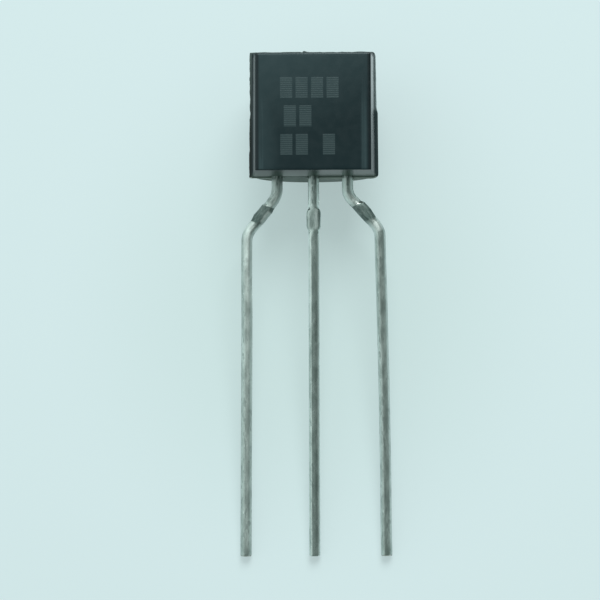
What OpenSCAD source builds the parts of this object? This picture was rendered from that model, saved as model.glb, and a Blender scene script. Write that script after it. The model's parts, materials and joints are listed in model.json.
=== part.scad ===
// TO-92 transistor with formed leads, lying on its round back with the flat face up.
// Everything is drawn upright first: flat face towards -Y, leads down, z = 0 at the body's lead end.
// lay_down() then turns it to where it rests, on the back's lower edge and the lead tips.

/* [Package] */
// Height of the moulded body, from its lead end to its top
body_h = 4.44; // [4.3:0.02:5.3]
// Width across the parting line at the lead end
body_w = 4.42; // [4.38:0.02:5.2]
// How much narrower the parting line is at the top
body_taper = 0.04; // [0:0.02:0.3]
// Depth from the parting line to the flat face
flat_depth = 1.2; // [1.1:0.01:1.5]
// Draft angle of the two side walls between the parting line and the flat face
side_draft = 6.5; // [3:0.5:10]
// Draft angle of the two end walls between the parting line and the flat face
end_draft = 6.5; // [3:0.5:10]
// Radius of the corners and of the round back's end edges
corner_r = 0.1; // [0.05:0.01:0.3]
// Size of the bevel round the edges of the flat face
edge_bevel = 0.05; // [0.02:0.01:0.12]
// How far the moulding flash stands out along the two sides
flash_side = 0.12; // [0.02:0.01:0.15]
// How far it stands out along the two ends
flash_end = 0.09; // [0.02:0.01:0.15]
// Thickness of the flash
flash_t = 0.05; // [0.03:0.01:0.1]
// Width of the broken-off gate stub on the top end
gate_w = 0.42; // [0.2:0.02:0.8]
// Thickness of the gate stub, behind the parting line
gate_t = 0.25; // [0.15:0.05:0.5]
// Height of the gate stub over the top end
gate_h = 0.13; // [0.04:0.01:0.15]
// Sideways place of the gate stub's middle
gate_x = -0.18; // [-0.8:0.02:0.8]

/* [Leads] */
// Thickness of the stamped sheet
lead_t = 0.38; // [0.3:0.01:0.45]
// Width of each lead
lead_w = 0.4; // [0.36:0.01:0.46]
// Distance between neighbouring leads where they leave the body
lead_pitch = 1.27; // [1.2:0.01:1.35]
// Distance between neighbouring leads just past the second bend
formed_pitch = 2.4; // [2.2:0.01:2.7]
// Length of the leads below the body
lead_len = 13.6; // [11:0.1:15]
// Distance between neighbouring leads at their tips
tip_pitch = 2.54; // [2.45:0.01:2.6]
// Straight length of the outer leads before their first bend
neck_l = 0.66; // [0.5:0.01:0.8]
// Angle of the emitter lead between its two bends, from straight down
emitter_angle = 39; // [37:1:41]
// Angle of the collector lead between its two bends, from straight down
collector_angle = 42; // [40:1:43]
// Radius of both bends, at the middle of the lead
bend_r = 0.7; // [0.4:0.05:0.8]

/* [Dam-bar stubs] */
// Distance along a lead from the body to the middle of its stub
stub_at = 1.5; // [1.4:0.05:1.7]
// Length of the stub
stub_l = 0.8; // [0.5:0.05:1]
// Width across the stub
stub_w = 0.52; // [0.47:0.01:0.6]
// Length over which the stub's upper end narrows to the lead
stub_top_slope = 0.1; // [0.02:0.02:0.2]
// Length over which its lower end narrows to the lead
stub_low_slope = 0.24; // [0.1:0.02:0.28]

/* [Lead frame inside the body] */
// Least thickness of epoxy between the lead frame and the outside
cover = 0.62; // [0.5:0.02:0.75]
// Gap between neighbouring pieces of the lead frame
frame_gap = 0.34; // [0.25:0.01:0.4]
// Height of the flag that carries the die
flag_h = 1.65; // [1.3:0.05:1.8]
// Width of the emitter's bond post
post_w = 0.62; // [0.5:0.02:0.75]
// Height of the emitter's bond post
post_h = 1.85; // [1.5:0.05:2.2]
// Width of the base's T-shaped bond post
tee_w = 0.95; // [0.7:0.05:1.1]
// Height of the base's bond post
tee_h = 0.45; // [0.3:0.05:0.5]
// Width across the ears that lock each lead in the epoxy
ear_w = 0.74; // [0.6:0.02:0.85]
// Height of the locking ears
ear_h = 0.28; // [0.2:0.02:0.35]
// Distance from the body's lead end to the ears
ear_at = 0.55; // [0.4:0.05:0.65]

/* [Die and bond wires] */
// Side of the square die
die_w = 0.6; // [0.4:0.05:0.75]
// Thickness of the die
die_t = 0.2; // [0.1:0.02:0.25]
// Thickness of the die-attach adhesive
attach_t = 0.03; // [0.02:0.01:0.05]
// How far the adhesive shows round the die
attach_edge = 0.08; // [0.02:0.01:0.1]
// Distance of the die from the flag's left edge
die_inset = 0.42; // [0.3:0.02:0.6]
// Distance of the die from the flag's lower edge
die_raise = 0.4; // [0.2:0.05:0.5]
// Distance of each bond pad from the edges of the die
pad_inset = 0.16; // [0.1:0.02:0.18]
// Diameter of the bond wires
wire_d = 0.03; // [0.02:0.005:0.05]
// Diameter of the ball bond on the die
ball_d = 0.1; // [0.08:0.01:0.14]
// Thickness of the ball bond
ball_t = 0.035; // [0.03:0.005:0.05]
// Diameter of the flattened stitch bond on the lead
stitch_d = 0.12; // [0.1:0.01:0.15]
// Thickness of the stitch bond
stitch_t = 0.025; // [0.02:0.005:0.03]
// Height of the bond wire's loop over the die
loop_h = 0.3; // [0.2:0.02:0.35]

/* [Hidden] */

// Straight steps in each rounded corner, in each bend and along a bond wire
CORNER_STEPS = 5;
BEND_STEPS = 8;
WIRE_STEPS = 14;
// Sides of a bond wire and of its bonds
WIRE_SIDES = 8;
BOND_SIDES = 12;
// Overlap that lets joined shapes and cuts pass fully through each other
SINK = 0.01;

// The body's side wall leans in by this angle from the lead end to the top
lean = atan(body_taper / 2 / body_h);
top_half_w = (body_w - body_taper) / 2;
// The lead frame lies astride the parting line: its front face carries the die
frame_front = lead_t / 2;

// Lead frame inside the body, seen from the front
flag_top = body_h - cover;
flag_low = flag_top - flag_h;
flag_right = top_half_w - cover;
post_left = -top_half_w + cover;
post_right = post_left + post_w;
flag_left = post_right + frame_gap;
post_top = flag_top;
post_low = post_top - post_h;
tee_top = flag_low - frame_gap;
tee_low = tee_top - tee_h;

// Die, bond pads and stitch bonds: [x, z] seen from the front
die_at = [flag_left + die_inset + die_w / 2, flag_low + die_raise + die_w / 2];
pad_off = die_w / 2 - pad_inset;
emitter_pad = die_at + [-pad_off, pad_off];
base_pad = die_at + [pad_off, -pad_off];
emitter_stitch = [(post_left + post_right) / 2, (post_low + post_top) / 2];
base_stitch = [0, (tee_low + tee_top) / 2];
attach_front = frame_front + attach_t;
die_front = attach_front + die_t;

// Points of an arc round a centre
function arc(centre, r, from, to, steps) =
    [for (i = [0:steps]) let (a = from + (to - from) * i / steps) centre + r * [cos(a), sin(a)]];

function unit(v) = v / norm(v);

function reversed(list) = [for (i = [len(list) - 1:-1:0]) list[i]];

// Right half of the body's outline seen from the front, upwards from the lead end.
// side_in and end_in move its side wall and its two ends inwards.
function half_outline(side_in = 0, end_in = 0, r = corner_r) =
    let (
        low = end_in + r,
        high = body_h - end_in - r,
        inset = r + side_in,
        low_x = body_w / 2 - (inset + low * sin(lean)) / cos(lean),
        high_x = body_w / 2 - (inset + high * sin(lean)) / cos(lean)
    )
    concat(
        arc([low_x, low], r, -90, lean, CORNER_STEPS),
        arc([high_x, high], r, lean, 90, CORNER_STEPS)
    );

// The whole outline, closed by its mirror image
function outline(side_in = 0, end_in = 0, r = corner_r) =
    let (right = half_outline(side_in, end_in, r))
    concat(right, [for (p = reversed(right)) [-p.x, p.y]]);

// The outline as a ring of points at a depth in front of the parting line
function outline_ring(depth, side_in, end_in) =
    [for (p = outline(side_in, end_in)) [p.x, -depth, p.y]];

// Points of an arc that rounds the corner at b between a and c
function rounded_corner(a, b, c, r, steps) =
    let (
        u = unit(a - b),
        v = unit(c - b),
        half = acos(u * v) / 2,
        centre = b + unit(u + v) * r / sin(half),
        start = b + u * r / tan(half) - centre,
        turn = (180 - 2 * half) * sign(u.x * v.y - u.y * v.x),
        from = atan2(start.y, start.x)
    )
    arc(centre, r, from, from - turn, steps);

// Sideways direction of a downward path at point i, square to the cut ends of the lead
function sideways(path, i) =
    i == 0 || i == len(path) - 1
        ? [1, 0]
        : let (
            before = unit(path[i] - path[i - 1]),
            after = unit(path[i + 1] - path[i]),
            along = unit(before + after)
        )
        [-along.y, along.x] / (along * after);

// Outline of a strip of even width along a path
function strip(path, width) =
    concat(
        [for (i = [0:len(path) - 1]) path[i] - sideways(path, i) * width / 2],
        [for (i = [len(path) - 1:-1:0]) path[i] + sideways(path, i) * width / 2]
    );

function bezier(p, t) =
    pow(1 - t, 3) * p[0] + 3 * t * pow(1 - t, 2) * p[1] + 3 * t * t * (1 - t) * p[2] + pow(t, 3) * p[3];

// Ring round a point of a wire that bends only in the plane square to the across direction
function wire_ring(centre, along, across, r) =
    let (up = cross(along, across))
    [for (k = [0:WIRE_SIDES - 1])
        let (a = 360 * k / WIRE_SIDES)
        centre + r * (cos(a) * across + sin(a) * up)];

// Middle line of an outer lead on the right-hand side, from a height inside the body down to its tip
function formed_path(start_z, angle) =
    let (start = [lead_pitch, start_z])
    let (bend_1 = [lead_pitch, -neck_l])
    let (bend_2 = [formed_pitch, -neck_l - (formed_pitch - lead_pitch) / tan(angle)])
    let (lead_tip = [tip_pitch, -lead_len])
    concat(
        [start],
        rounded_corner(start, bend_1, bend_2, bend_r, BEND_STEPS),
        rounded_corner(bend_1, bend_2, lead_tip, bend_r, BEND_STEPS),
        [lead_tip]
    );

// Leaning angle at which the tips and the back's lower edge touch the same level surface
rest_tilt = max([for (p = half_outline()) atan2(p.x - lead_t / 2, p.y + lead_len)]);
rest_lift = lead_len * sin(rest_tilt) + lead_t / 2 * cos(rest_tilt);
back_end_y = max([for (p = half_outline()) p.y * cos(rest_tilt) + p.x * sin(rest_tilt)]);
tip_end_y = -lead_len * cos(rest_tilt) - lead_t / 2 * sin(rest_tilt);

// From upright to lying: flat face up, leads towards -Y, on the surface, centred over the origin
module lay_down() {
    translate([0, -(back_end_y + tip_end_y) / 2, rest_lift])
        rotate([rest_tilt - 90, 0, 0])
            children();
}

// Solid through rings of as many points each, which turn anticlockwise seen from the last ring's side
module skin(rings) {
    n = len(rings[0]);
    last = (len(rings) - 1) * n;
    polyhedron(
        points = [for (ring = rings) each ring],
        faces = concat(
            [[for (i = [0:n - 1]) i]],
            [for (j = [0:n:last - n]) for (i = [0:n - 1])
                [j + i, j + n + i, j + n + (i + 1) % n, j + (i + 1) % n]],
            [[for (i = [n - 1:-1:0]) last + i]]
        )
    );
}

// A flat shape in the lead frame's plane, through the thickness of the sheet
module stamped() {
    rotate([90, 0, 0])
        linear_extrude(height = lead_t, center = true)
            children();
}

// Rectangle from its left, right, lower and upper edges
module plate(left, right, low, high) {
    translate([left, low])
        square([right - left, high - low]);
}

module locking_ears(x) {
    plate(x - ear_w / 2, x + ear_w / 2, ear_at, ear_at + ear_h);
}

// What is left of the bar that joined the leads, with its ends sloped by the shear
module dam_bar_stub() {
    narrow = lead_w / 2 - SINK;
    wide = stub_w / 2;
    polygon([
        [-narrow, -stub_l / 2],
        [narrow, -stub_l / 2],
        [wide, -stub_l / 2 + stub_low_slope],
        [wide, stub_l / 2 - stub_top_slope],
        [narrow, stub_l / 2],
        [-narrow, stub_l / 2],
        [-wide, stub_l / 2 - stub_top_slope],
        [-wide, -stub_l / 2 + stub_low_slope]
    ]);
}

// Right-hand lead outside the body, with its stub on the slope between the bends
module formed_lead(start_z, angle) {
    on_slope = stub_at - neck_l;
    polygon(strip(formed_path(start_z, angle), lead_w));
    translate([lead_pitch, -neck_l] + on_slope * [sin(angle), -cos(angle)])
        rotate(angle)
            dam_bar_stub();
}

module emitter_shape() {
    mirror([1, 0])
        formed_lead(post_low + SINK, emitter_angle);
    locking_ears(-lead_pitch);
    plate(post_left, post_right, post_low, post_top);
}

module base_shape() {
    plate(-lead_w / 2, lead_w / 2, -lead_len, tee_low + SINK);
    translate([0, -stub_at])
        dam_bar_stub();
    locking_ears(0);
    plate(-tee_w / 2, tee_w / 2, tee_low, tee_top);
}

module collector_shape() {
    formed_lead(flag_low + SINK, collector_angle);
    locking_ears(lead_pitch);
    plate(flag_left, flag_right, flag_low, flag_top);
}

// Square block on the front of the flag, round the middle of the die
module on_flag(width, from_depth, thickness) {
    translate([die_at.x - width / 2, -from_depth - thickness, die_at.y - width / 2])
        cube([width, thickness, width]);
}

module die_solid() {
    on_flag(die_w, attach_front, die_t);
}

module attach_solid() {
    on_flag(die_w + 2 * attach_edge, frame_front, attach_t);
}

// A flat round bond on a face that looks forward
module bond(at, depth, d, thickness) {
    translate([at.x, -depth, at.y])
        rotate([90, 0, 0])
            cylinder(h = thickness, d = d, $fn = BOND_SIDES);
}

// Ball bond on the die, a looped wire and a stitch bond on the lead
module wire_solid(pad, stitch) {
    run = stitch - pad;
    across = unit([-run.y, 0, run.x]);
    low = [pad.x, -die_front - ball_t / 2, pad.y];
    high = [stitch.x, -frame_front - stitch_t, stitch.y];
    rise = [0, -loop_h * 4 / 3, 0];
    curve = [low, low + rise, high + (low - high) * 0.35 + rise, high];
    path = [for (i = [0:WIRE_STEPS]) bezier(curve, i / WIRE_STEPS)];
    skin([for (i = [0:WIRE_STEPS])
        let (along = unit(path[min(i + 1, WIRE_STEPS)] - path[max(i - 1, 0)]))
        wire_ring(path[i], along, across, wire_d / 2)]);
    bond(pad, die_front, ball_d, ball_t);
    bond(stitch, frame_front, stitch_d, stitch_t);
}

// Moulded half behind the parting line: half a turn of the outline
module round_back() {
    profile = concat([[0, 0]], half_outline(), [[0, body_h]]);
    rotate_extrude(angle = 180, $fn = 96)
        polygon(profile);
}

// Moulded half in front of the parting line: drafted walls, then the bevel round the flat face
module drafted_front() {
    bevel_depth = flat_depth - edge_bevel;
    side_in = bevel_depth * tan(side_draft);
    end_in = bevel_depth * tan(end_draft);
    skin([
        outline_ring(0, 0, 0),
        outline_ring(bevel_depth, side_in, end_in),
        outline_ring(flat_depth, side_in + edge_bevel, end_in + edge_bevel)
    ]);
}

// Thin fin that the mould leaves all round the parting line
module flash() {
    rotate([90, 0, 0])
        linear_extrude(height = flash_t, center = true)
            polygon(outline(-flash_side, -flash_end, corner_r + flash_end));
}

module gate_stub() {
    translate([gate_x - gate_w / 2, 0, body_h - corner_r])
        cube([gate_w, gate_t, corner_r + gate_h]);
}

// Everything that the epoxy is moulded round
module inner_pieces() {
    stamped() emitter_shape();
    stamped() base_shape();
    stamped() collector_shape();
    attach_solid();
    die_solid();
    wire_solid(emitter_pad, emitter_stitch);
    wire_solid(base_pad, base_stitch);
}

module package_body() {
    color("#2a373c")
        lay_down()
            difference() {
                union() {
                    round_back();
                    drafted_front();
                    flash();
                    gate_stub();
                }
                inner_pieces();
            }
}

module emitter_lead() {
    color("#a9b3b0")
        lay_down()
            stamped()
                emitter_shape();
}

module base_lead() {
    color("#a9b3b0")
        lay_down()
            stamped()
                base_shape();
}

module collector_lead() {
    color("#a9b3b0")
        lay_down()
            stamped()
                collector_shape();
}

module silicon_die() {
    color("#59606b")
        lay_down()
            die_solid();
}

module die_attach() {
    color("#c9c8c2")
        lay_down()
            attach_solid();
}

module emitter_bond_wire() {
    color("#d8b04a")
        lay_down()
            wire_solid(emitter_pad, emitter_stitch);
}

module base_bond_wire() {
    color("#d8b04a")
        lay_down()
            wire_solid(base_pad, base_stitch);
}

package_body();
emitter_lead();
base_lead();
collector_lead();
silicon_die();
die_attach();
emitter_bond_wire();
base_bond_wire();
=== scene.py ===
"""A small transistor in a TO-92 case with formed leads, lying flat face up on a pale floor.

Shapes are drawn upright, in millimetres: the flat face looks towards -Y, the leads point down -Z,
and z = 0 is the body's lead end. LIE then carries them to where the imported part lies, in metres.
"""

import json
import math
from collections import namedtuple

import bmesh
import bpy
from mathutils import Matrix, Vector, noise

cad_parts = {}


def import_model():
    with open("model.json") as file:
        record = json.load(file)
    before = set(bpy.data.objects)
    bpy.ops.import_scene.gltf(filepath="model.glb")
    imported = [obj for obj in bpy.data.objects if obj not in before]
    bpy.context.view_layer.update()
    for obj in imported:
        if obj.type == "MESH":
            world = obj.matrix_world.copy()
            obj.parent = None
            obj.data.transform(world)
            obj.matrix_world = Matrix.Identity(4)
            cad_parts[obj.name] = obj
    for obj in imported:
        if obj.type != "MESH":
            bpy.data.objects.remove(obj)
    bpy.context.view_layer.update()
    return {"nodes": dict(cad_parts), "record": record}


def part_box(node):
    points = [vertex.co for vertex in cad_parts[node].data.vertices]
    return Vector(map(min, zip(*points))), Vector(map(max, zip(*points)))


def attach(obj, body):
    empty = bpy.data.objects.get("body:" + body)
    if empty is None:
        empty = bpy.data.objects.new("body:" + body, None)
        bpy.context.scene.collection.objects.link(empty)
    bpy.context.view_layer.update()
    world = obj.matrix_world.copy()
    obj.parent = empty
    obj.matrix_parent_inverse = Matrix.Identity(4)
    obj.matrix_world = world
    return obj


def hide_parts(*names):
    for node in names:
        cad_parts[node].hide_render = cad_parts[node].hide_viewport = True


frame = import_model()

MM = 0.001

# ---- sizes, as in the part's source

BODY_H = 4.44
BODY_W = 4.42
BODY_TAPER = 0.04
FLAT_DEPTH = 1.2
END_DRAFT = math.radians(6.5)
CORNER_R = 0.1
FLASH_T = 0.05
FLASH_SIDE = 0.12
FLASH_END = 0.09
GATE_X = -0.18
GATE_W = 0.42
GATE_T = 0.25
GATE_H = 0.13

LEAD_T = 0.38
LEAD_W = 0.4
LEAD_PITCH = 1.27
FORMED_PITCH = 2.4
LEAD_LEN = 13.6
TIP_PITCH = 2.54
NECK_L = 0.66
EMITTER_ANGLE = math.radians(39)
COLLECTOR_ANGLE = math.radians(42)
BEND_R = 0.7
STUB_AT = 1.5
STUB_L = 0.8
STUB_TOP_SLOPE = 0.1

COVER = 0.62
FRAME_GAP = 0.34
FLAG_H = 1.65
POST_W = 0.62
POST_H = 1.85
TEE_W = 0.95
TEE_H = 0.45
EAR_W = 0.74
EAR_H = 0.28
EAR_AT = 0.55

# ---- sizes that the source has otherwise or leaves out

# Draft of the side walls, 0.2 degrees more than in the source
SIDE_DRAFT = math.radians(6.7)
# Roundings along the flat's two sides and along its two ends, for the source's bevel
FLAT_EDGE_R = 0.07
END_EDGE_R = 0.055
# Corners of the outline in front of the parting line, on the flat and round the back, for CORNER_R
WALL_CORNER_R = 0.08
FLAT_CORNER_R = 0.035
BACK_CORNER_R = 0.12
# How far the front half stands out past the back half on the right
MISMATCH = 0.022
# How far the flat's right edge lies in at the lead end
RIGHT_EDGE_IN = 0.025
# Height of the crown on a lead's front and back, and corner radius of its plates
LEAD_CROWN = 0.05
PLATE_CORNER_R = 0.03
# Points closer than this are one point
POINT_GAP = 1e-5

# ---- derived places

LEAN = math.atan(BODY_TAPER / 2 / BODY_H)
TOP_HALF_W = (BODY_W - BODY_TAPER) / 2
FLAG_TOP = BODY_H - COVER
FLAG_LOW = FLAG_TOP - FLAG_H
FLAG_RIGHT = TOP_HALF_W - COVER
POST_LEFT = -TOP_HALF_W + COVER
POST_RIGHT = POST_LEFT + POST_W
FLAG_LEFT = POST_RIGHT + FRAME_GAP
POST_TOP = FLAG_TOP
POST_LOW = POST_TOP - POST_H
TEE_TOP = FLAG_LOW - FRAME_GAP
TEE_LOW = TEE_TOP - TEE_H


def mount(name):
    """Place and axis of one of the record's mounts."""
    found = next(m for m in frame["record"]["mounts"] if m["name"] == name)
    return Vector(found["pos_m"]), Vector(found["axis"]).normalized()


FLAT_AT, FLAT_NORMAL = mount("flat_face")
LEAD_DIR = mount("lead_tips")[1]
ORIGIN = FLAT_AT - FLAT_NORMAL * FLAT_DEPTH * MM + LEAD_DIR * BODY_H / 2 * MM
LIE = Matrix.Translation(ORIGIN) @ Matrix((
    (MM, 0, 0, 0),
    (0, -FLAT_NORMAL.y * MM, -LEAD_DIR.y * MM, 0),
    (0, -FLAT_NORMAL.z * MM, -LEAD_DIR.z * MM, 0),
    (0, 0, 0, 1),
))


def lying(x, y, z):
    """An upright place in millimetres as a place in the frame, in metres."""
    return LIE @ Vector((x, y, z))


def lying_direction(x, y, z):
    return (LIE.to_3x3() @ Vector((x, y, z))).normalized()


# ---- mesh helpers

def smoothstep(edge, width, value):
    """0 below edge, 1 above edge + width, smooth between."""
    t = min(max((value - edge) / width, 0), 1)
    return t * t * (3 - 2 * t)


def window(low, high, soft, value):
    """1 between low and high, falling to 0 over soft outside them."""
    return smoothstep(low - soft, soft, value) * (1 - smoothstep(high, soft, value))


def grain(x, y, z, size, seed):
    """Smooth noise from -1 to 1 that changes over about size millimetres."""
    return noise.noise(Vector((x / size + seed, y / size - seed, z / size + 2 * seed)))


def add_object(name, data):
    obj = bpy.data.objects.new(name, data)
    bpy.context.scene.collection.objects.link(obj)
    return obj


def mesh_object(name, bm):
    mesh = bpy.data.meshes.new(name)
    bm.to_mesh(mesh)
    bm.free()
    return add_object(name, mesh)


def upright_object(name, bm):
    """A smooth mesh object from a closed bmesh, still upright and in millimetres."""
    bmesh.ops.recalc_face_normals(bm, faces=bm.faces)
    if bm.calc_volume(signed=True) < 0:
        bmesh.ops.reverse_faces(bm, faces=bm.faces)
    obj = mesh_object(name, bm)
    obj.data.polygons.foreach_set("use_smooth", [True] * len(obj.data.polygons))
    return obj


def discard(obj):
    mesh = obj.data
    bpy.data.objects.remove(obj)
    bpy.data.meshes.remove(mesh)


def combine(obj, operation, others):
    """Joins other upright solids to a piece (UNION), or cuts their room out of it (DIFFERENCE)."""
    for other in others:
        change = obj.modifiers.new(other.name, "BOOLEAN")
        change.operation = operation
        change.solver = "MANIFOLD"
        change.object = other
    bpy.context.view_layer.update()
    before = obj.data
    changed = obj.evaluated_get(bpy.context.evaluated_depsgraph_get())
    obj.data = bpy.data.meshes.new_from_object(changed)
    obj.data.name = before.name
    obj.modifiers.clear()
    bpy.data.meshes.remove(before)


def lay_down(obj):
    """Carries an upright piece to where the part lies."""
    obj.data.transform(LIE)
    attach(obj, "root")


def loop_faces(bm, ring_a, ring_b, closed=True):
    """Quads between two rings of as many vertices, leaving out edges that have shrunk to a point."""
    n = len(ring_a)
    for i in range(n if closed else n - 1):
        j = (i + 1) % n
        corners = []
        for v in (ring_a[i], ring_b[i], ring_b[j], ring_a[j]):
            if v not in corners:
                corners.append(v)
        if len(corners) > 2:
            bm.faces.new(corners)


def fan(bm, ring, tip):
    """Triangles from a ring to one vertex."""
    for i in range(len(ring)):
        bm.faces.new((ring[i], ring[(i + 1) % len(ring)], tip))


# ---- moulded body

# Steps of the outline: along half an end, round a corner and up a side
END_POINTS = 26
ARC_POINTS = 8
SIDE_POINTS = 64
# Rings down the walls, round the flat's edge and across the flat, and steps round the back
WALL_RINGS = 8
EDGE_RINGS = 7
FLAT_RINGS = 22
TURN_STEPS = 72
# Section of the flash from front to back, as shares of its reach and of its thickness
FLASH_SECTION = ((0.5, -0.45), (0.85, -0.32), (1, 0), (0.83, 0.33), (0.45, 0.46))
# Least reach of the flash at the sides and at the ends, and how far it curls out of its plane
LEAST_SIDE = 0.005
LEAST_END = 0.001
FLASH_CURL = 0.010
# Stretch of the lead end, between the left and middle leads, whose flash is nearly gone
FLASH_GAP = (-1.05, -0.3)


def arc(x, z, r, start, turn):
    """Points [x, z] of an arc round a centre."""
    angles = [start + turn * i / ARC_POINTS for i in range(ARC_POINTS + 1)]
    return [(x + r * math.cos(a), z + r * math.sin(a)) for a in angles]


def half_outline(side_in, end_in, r):
    """Right half of the body's outline [x, z], from the middle of the lead end to the middle of the top.
    side_in and end_in move its side wall and its two ends inwards."""
    low, high = end_in + r, BODY_H - end_in - r
    inset = r + side_in
    low_x = BODY_W / 2 - (inset + low * math.sin(LEAN)) / math.cos(LEAN)
    high_x = BODY_W / 2 - (inset + high * math.sin(LEAN)) / math.cos(LEAN)
    points = [(low_x * i / END_POINTS, end_in) for i in range(END_POINTS)]
    points += arc(low_x, low, r, -math.pi / 2, math.pi / 2 + LEAN)
    start = points[-1]
    end = (high_x + r * math.cos(LEAN), high + r * math.sin(LEAN))
    for i in range(1, SIDE_POINTS):
        t = i / SIDE_POINTS
        points.append((start[0] + (end[0] - start[0]) * t, start[1] + (end[1] - start[1]) * t))
    points += arc(high_x, high, r, LEAN, math.pi / 2 - LEAN)
    points += [(high_x * i / END_POINTS, BODY_H - end_in) for i in range(END_POINTS - 1, -1, -1)]
    return points


def outline(side_in, end_in, r):
    right = half_outline(side_in, end_in, r)
    return right + [(-x, z) for x, z in reversed(right[1:-1])]


def flash_reach(x, z):
    """How far the flash stands out sideways and endwise at a place on the outline.
    It is worn back a little up the left and thin up the right."""
    ragged = 0.45 * grain(x, 0, z, 0.5, 3.1) + 0.35 * grain(x, 0, z, 0.19, 7.7)
    ragged += 0.2 * grain(x, 0, z, 0.08, 1.3)
    if x < 0:
        kept = 1 - 0.2 * smoothstep(0.6, 1.5, z) + 0.08 * smoothstep(3.5, 0.6, z) + 0.4 * ragged
        room = FLASH_SIDE
    else:
        kept = 1.05 - 0.55 * smoothstep(2.25, 0.25, z)
        kept *= 0.9 + 0.45 * ragged + 0.3 * (1 - z / BODY_H)
        room = FLASH_SIDE - MISMATCH
    side = room * min(kept, 1)
    end = FLASH_END * min(0.92 + 0.5 * ragged, 1)
    if z < BODY_H / 2:
        end *= 1 - 0.98 * window(*FLASH_GAP, 0.12, x) - 0.5 * smoothstep(1.5, 0.3, -x)
    return max(side, LEAST_SIDE), max(end, LEAST_END)


def wall_inset(depth, draft, r):
    """How far a drafted wall, whose edge at the flat has radius r, lies inside the parting line."""
    wall_top = FLAT_DEPTH - r * math.tan((math.pi / 2 - draft) / 2) * math.cos(draft)
    if depth <= wall_top:
        return depth * math.tan(draft)
    a = math.asin(min((depth - wall_top) / r + math.sin(draft), 1))
    return wall_top * math.tan(draft) + r * (math.cos(draft) - math.cos(a))


def front_depths():
    """Depths of the rings from the flash over the drafted walls to the edge of the flat."""
    arc_depth = FLAT_EDGE_R * (1 - math.sin(SIDE_DRAFT))
    wall = FLAT_DEPTH - arc_depth - FLASH_T / 2
    depths = [FLASH_T / 2 + wall * i / WALL_RINGS for i in range(WALL_RINGS + 1)]
    for i in range(1, EDGE_RINGS + 1):
        a = SIDE_DRAFT + (math.pi / 2 - SIDE_DRAFT) * i / EDGE_RINGS
        depths.append(FLAT_DEPTH - FLAT_EDGE_R * (1 - math.sin(a)))
    return depths


def corner_at(depth):
    """Radius of the outline's corners, sharper towards the flat."""
    return WALL_CORNER_R + (FLAT_CORNER_R - WALL_CORNER_R) * depth / FLAT_DEPTH


def front_x(x, z, depth):
    """Moves the front half's right wall: out a little at the parting line, and in a little at the flat, most
    at the lead end, which leaves the flat's right edge nearly upright."""
    share, deep = smoothstep(0.3, 1.6, x), depth / FLAT_DEPTH
    return x + share * (MISMATCH * (1 - deep) - RIGHT_EDGE_IN * deep * (1 - z / BODY_H))


def front_outline(depth):
    """Outline of the front half at a depth in front of the parting line."""
    side_in = wall_inset(depth, SIDE_DRAFT, FLAT_EDGE_R)
    end_in = wall_inset(depth, END_DRAFT, END_EDGE_R)
    return [(front_x(x, z, depth), z) for x, z in outline(side_in, end_in, corner_at(depth))]


def flat_face(bm, edge):
    """The flat, in rings from its middle out to its edge. Returns the edge's ring."""
    centre = bm.verts.new((0, -FLAT_DEPTH, BODY_H / 2))
    previous = None
    for k in range(1, FLAT_RINGS + 1):
        t = k / FLAT_RINGS
        ring = [bm.verts.new((x * t, -FLAT_DEPTH, BODY_H / 2 + (z - BODY_H / 2) * t)) for x, z in edge]
        if previous is None:
            for i in range(len(ring)):
                bm.faces.new((centre, ring[i], ring[(i + 1) % len(ring)]))
        else:
            loop_faces(bm, previous, ring)
        previous = ring
    return previous


def flash_foot():
    """Places round the parting line, with sharp corners on the left and round ones on the right, each with
    the way outwards from there. On the left that is longer at a corner, so the flash's corners are square."""
    sharp, rounded = outline(0, 0, FLAT_CORNER_R), outline(0, 0, CORNER_R)
    points = [s if s[0] < 0 else r for s, r in zip(sharp, rounded)]
    feet = []
    for i, (x, z) in enumerate(points):
        before, after = points[i - 1], points[(i + 1) % len(points)]
        along = Vector((after[0] - before[0], after[1] - before[1]))
        longest = max(abs(along.x), abs(along.y)) if x < 0 else along.length
        feet.append((x, z, Vector((along.y, -along.x)) / longest))
    return feet


def flash_fin(bm, previous):
    """The flash, as a thin ragged fin round the parting line. Returns its last ring."""
    feet = flash_foot()
    for share, y in FLASH_SECTION:
        ring = []
        for x, z, out in feet:
            side, end = flash_reach(x, z)
            curl = FLASH_CURL * grain(x, 5, z, 0.4, 2.2) * share
            across = front_x(x, z, 0) + out.x * side * share
            ring.append(bm.verts.new((across, y * FLASH_T + curl, z + out.y * end * share)))
        loop_faces(bm, previous, ring)
        previous = ring
    return previous


def round_back(bm, ring):
    """The round back: half a turn of the outline, from its right half to its left half."""
    profile = half_outline(0, 0, BACK_CORNER_R)
    half = len(profile)
    squash = 1 - FLASH_T / BODY_W
    column = ring[:half]
    left = [ring[0]] + list(reversed(ring[half:])) + [ring[half - 1]]
    for j in range(1, TURN_STEPS):
        a = math.pi * j / TURN_STEPS
        turned = [(x * math.cos(a), FLASH_T / 2 + x * math.sin(a) * squash, z) for x, z in profile[1:-1]]
        following = [ring[0], *map(bm.verts.new, turned), ring[half - 1]]
        loop_faces(bm, column, following, closed=False)
        column = following
    loop_faces(bm, column, left, closed=False)


def moulded_body():
    bm = bmesh.new()
    depths = front_depths()
    previous = flat_face(bm, front_outline(depths[-1]))
    for depth in reversed(depths[:-1]):
        ring = [bm.verts.new((x, -depth, z)) for x, z in front_outline(depth)]
        loop_faces(bm, previous, ring)
        previous = ring
    previous = flash_fin(bm, previous)
    ring = [bm.verts.new((x, FLASH_T / 2, z)) for x, z in outline(0, 0, BACK_CORNER_R)]
    loop_faces(bm, previous, ring)
    round_back(bm, ring)
    return upright_object("moulded_body", bm)


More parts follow.
